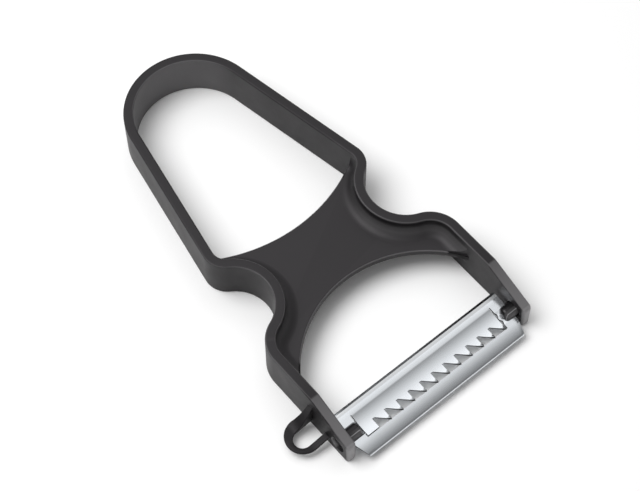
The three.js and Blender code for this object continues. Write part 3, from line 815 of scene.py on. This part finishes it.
# %% The dished tongue and its teeth
half = STRIP_WIDTH / 2
dish = (half ** 2 + STRIP_DISH ** 2) / (2 * STRIP_DISH)
dish_axis = Vector((0, FOLD - half, SHEET_TOP - STRIP_DISH + dish))
sweep = 2 * asin(half / dish)
root = TOOTH_TIP + TOOTH_DEPTH
root_turn = asin(half / dish) - asin((root - dish_axis.y) / dish)


def between(edges, low, high):
    inside = [e for e in edges if all(low - NEAR < v.co.x < high + NEAR for v in e.verts)]
    return inside + list({v for e in inside for v in e.verts})


on_fold = [e for e in blade.edges if all(abs(v.co.y - FOLD) < FINE for v in e.verts)]
hang = between(on_fold, -STRIP_END, STRIP_END)
root_line = bend(blade, hang, dish_axis, -root_turn, DISH_STEPS, axis=(1, 0, 0))
bites = [(-STRIP_END, first, 0)]
for tooth in range(TEETH):
    left = first + tooth * pitch
    bites.append((left + ROOT_FLAT, left + pitch, pitch - ROOT_FLAT - TIP_FLAT))
for left, right, slant in bites:
    line = between(kinds(root_line, BMEdge), left, right)
    for step in range(TOOTH_STEPS):
        line = bend(blade, line, dish_axis, -(sweep - root_turn) / TOOTH_STEPS, 1, axis=(1, 0, 0))
        for v in kinds(line, BMVert):
            if v.co.x < right - NEAR:
                v.co.x += slant / TOOTH_STEPS
for v in blade.verts:
    past = TOOTH_TIP + TIP_REACH - v.co.y
    if first + NEAR < v.co.x < STRIP_END + NEAR and 0 < past and v.co.y > LIP_START + LIP_GAP:
        v.co.z += TIP_RISE * (past / TIP_REACH) ** 2
outward(blade)
print("blade surface", len(blade.faces), "faces")


# %% The lip's slanted ends, then the tilt on the pins
def onto_pivot(bm):
    tilt = Matrix.Rotation(BLADE_TILT, 3, "X")
    bmesh.ops.rotate(bm, verts=bm.verts, cent=(0, 0, 0), matrix=tilt)
    bmesh.ops.translate(bm, verts=bm.verts, vec=PIVOT)


for v in blade.verts:
    if v.co.y < LIP_START and abs(v.co.x) > WINDOW + NEAR:
        share = (abs(v.co.x) - WINDOW) / (BLADE_END - WINDOW)
        down = (LIP_START - v.co.y) / (LIP_WIDTH + LIP_CURL)
        v.co.x -= (1 if v.co.x > 0 else -1) * share * LIP_SLANT * down
if sum(f.normal.z * f.calc_area() for f in blade.faces) < 0:
    bmesh.ops.reverse_faces(blade, faces=blade.faces[:])
for f in blade.faces:
    if GRIND_END < f.calc_center_median().y < RAIL_BACK - EDGE:
        f.material_index = 1
onto_pivot(blade)
blade_piece = dressed(blade, "toothed_blade", steel, "blade_body", "stainless", "blade")
blade_piece.data.materials.append(ground)
blade_piece.data.materials.append(sheared)
gauge = blade_piece.modifiers.new("gauge", "SOLIDIFY")
gauge.thickness = SHEET
gauge.offset = -1
gauge.use_even_offset = True
gauge.material_offset_rim = 2
burr = blade_piece.modifiers.new("broken_edges", "BEVEL")
burr.width = 0.05 * MM
burr.segments = 2
burr.limit_method = "ANGLE"
burr.angle_limit = radians(50)
blade_piece.modifiers.move(0, 2)
print("toothed_blade", in_mm(blade_piece.dimensions))

# %% [markdown]
# Two plain black pins carry the blade. Each is a round bar whose outer end is set back a little in
# the arm's hole. The left one lies in its seat along its whole length. The inner end of the right one
# is rounded more, and it is flat below, because it sits on the plate where the seat has stopped. A
# small key under each bar passes through the sheet and ends in a flat head, so that the pin turns
# with the blade. How the real pins are held doesn't show, so the key is a guess.

# %% Pivot pins
PIN_RADIUS, PIN_OUTER, END_BREAK = 1.8 * MM, 27.7 * MM, 0.08 * MM
FLAT_STEP, FLAT_GAP, SEAT_GAP = 0.03 * MM, 0.02 * MM, 0.1 * MM
KEY_X, KEY_RADIUS, KEY_HEAD, KEY_HEAD_HEIGHT = 24.25 * MM, 0.45 * MM, 0.9 * MM, 0.45 * MM
HEAD_TOP, ON_AXIS = -2.9 * MM, 1e-9
INNER_STEPS, OUTER_STEPS, BAR_STEPS, KEY_STEPS = 8, 4, 64, 32


def add_bar(bm, inner, end_round, flat_to):
    seat, outer = max(flat_to, inner + end_round + SEAT_GAP), PIN_OUTER - END_BREAK
    path = pull(bm, [bm.verts.new((inner, 0, 0))], (0, 0, PIN_RADIUS - end_round))
    inner_centre = (inner + end_round, 0, PIN_RADIUS - end_round)
    path = bend(bm, path, inner_centre, pi / 2, INNER_STEPS, axis=(0, 1, 0))
    path = pull(bm, path, (seat - FLAT_STEP - inner - end_round, 0, 0))
    path = pull(bm, path, (2 * FLAT_STEP, 0, 0))
    path = pull(bm, path, (outer - seat - FLAT_STEP, 0, 0))
    path = bend(bm, path, (outer, 0, PIN_RADIUS - END_BREAK), pi / 2, OUTER_STEPS, axis=(0, 1, 0))
    pull(bm, path, (0, 0, -(PIN_RADIUS - END_BREAK)))
    bmesh.ops.spin(bm, geom=bm.verts[:] + bm.edges[:], cent=(0, 0, 0), axis=(1, 0, 0),
                   angle=2 * pi, steps=BAR_STEPS, use_merge=True)
    for v in bm.verts:
        if v.co.x < flat_to:
            v.co.z = max(v.co.z, SHEET_TOP + FLAT_GAP)
    outward(bm)


def add_key(bm):
    path = pull(bm, [bm.verts.new((KEY_X, 0, HEAD_TOP - KEY_HEAD_HEIGHT))], (KEY_HEAD, 0, 0))
    path = pull(bm, path, (0, 0, KEY_HEAD_HEIGHT))
    path = pull(bm, path, (KEY_RADIUS - KEY_HEAD, 0, 0))
    path = pull(bm, path, (0, 0, -HEAD_TOP - PIN_RADIUS / 2))
    pull(bm, path, (-KEY_RADIUS, 0, 0))
    strand = [v for v in bm.verts if abs(v.co.y) < ON_AXIS and v.co.x >= KEY_X - ON_AXIS]
    strand = [v for v in strand if not v.link_faces]
    strand += list({e for v in strand for e in v.link_edges})
    bmesh.ops.spin(bm, geom=strand, cent=(KEY_X, 0, 0), axis=(0, 0, 1),
                   angle=2 * pi, steps=KEY_STEPS, use_merge=True)


def pivot_pin(name, inner, end_round, flat_to, hand, node):
    bm = bmesh.new()
    add_bar(bm, inner, end_round, flat_to)
    add_key(bm)
    bmesh.ops.scale(bm, verts=bm.verts, vec=(hand, 1, 1))
    outward(bm)
    onto_pivot(bm)
    made = dressed(bm, name, pin_black, "blade_body", "pin_plastic", node)
    print(name, in_mm(made.dimensions))


pivot_pin("left_pin", 22.1 * MM, 0.5 * MM, 0, -1, "pivot_pin_left")
pivot_pin("right_pin", 22.45 * MM, 1.1 * MM, 23.93 * MM, 1, "pivot_pin_right")
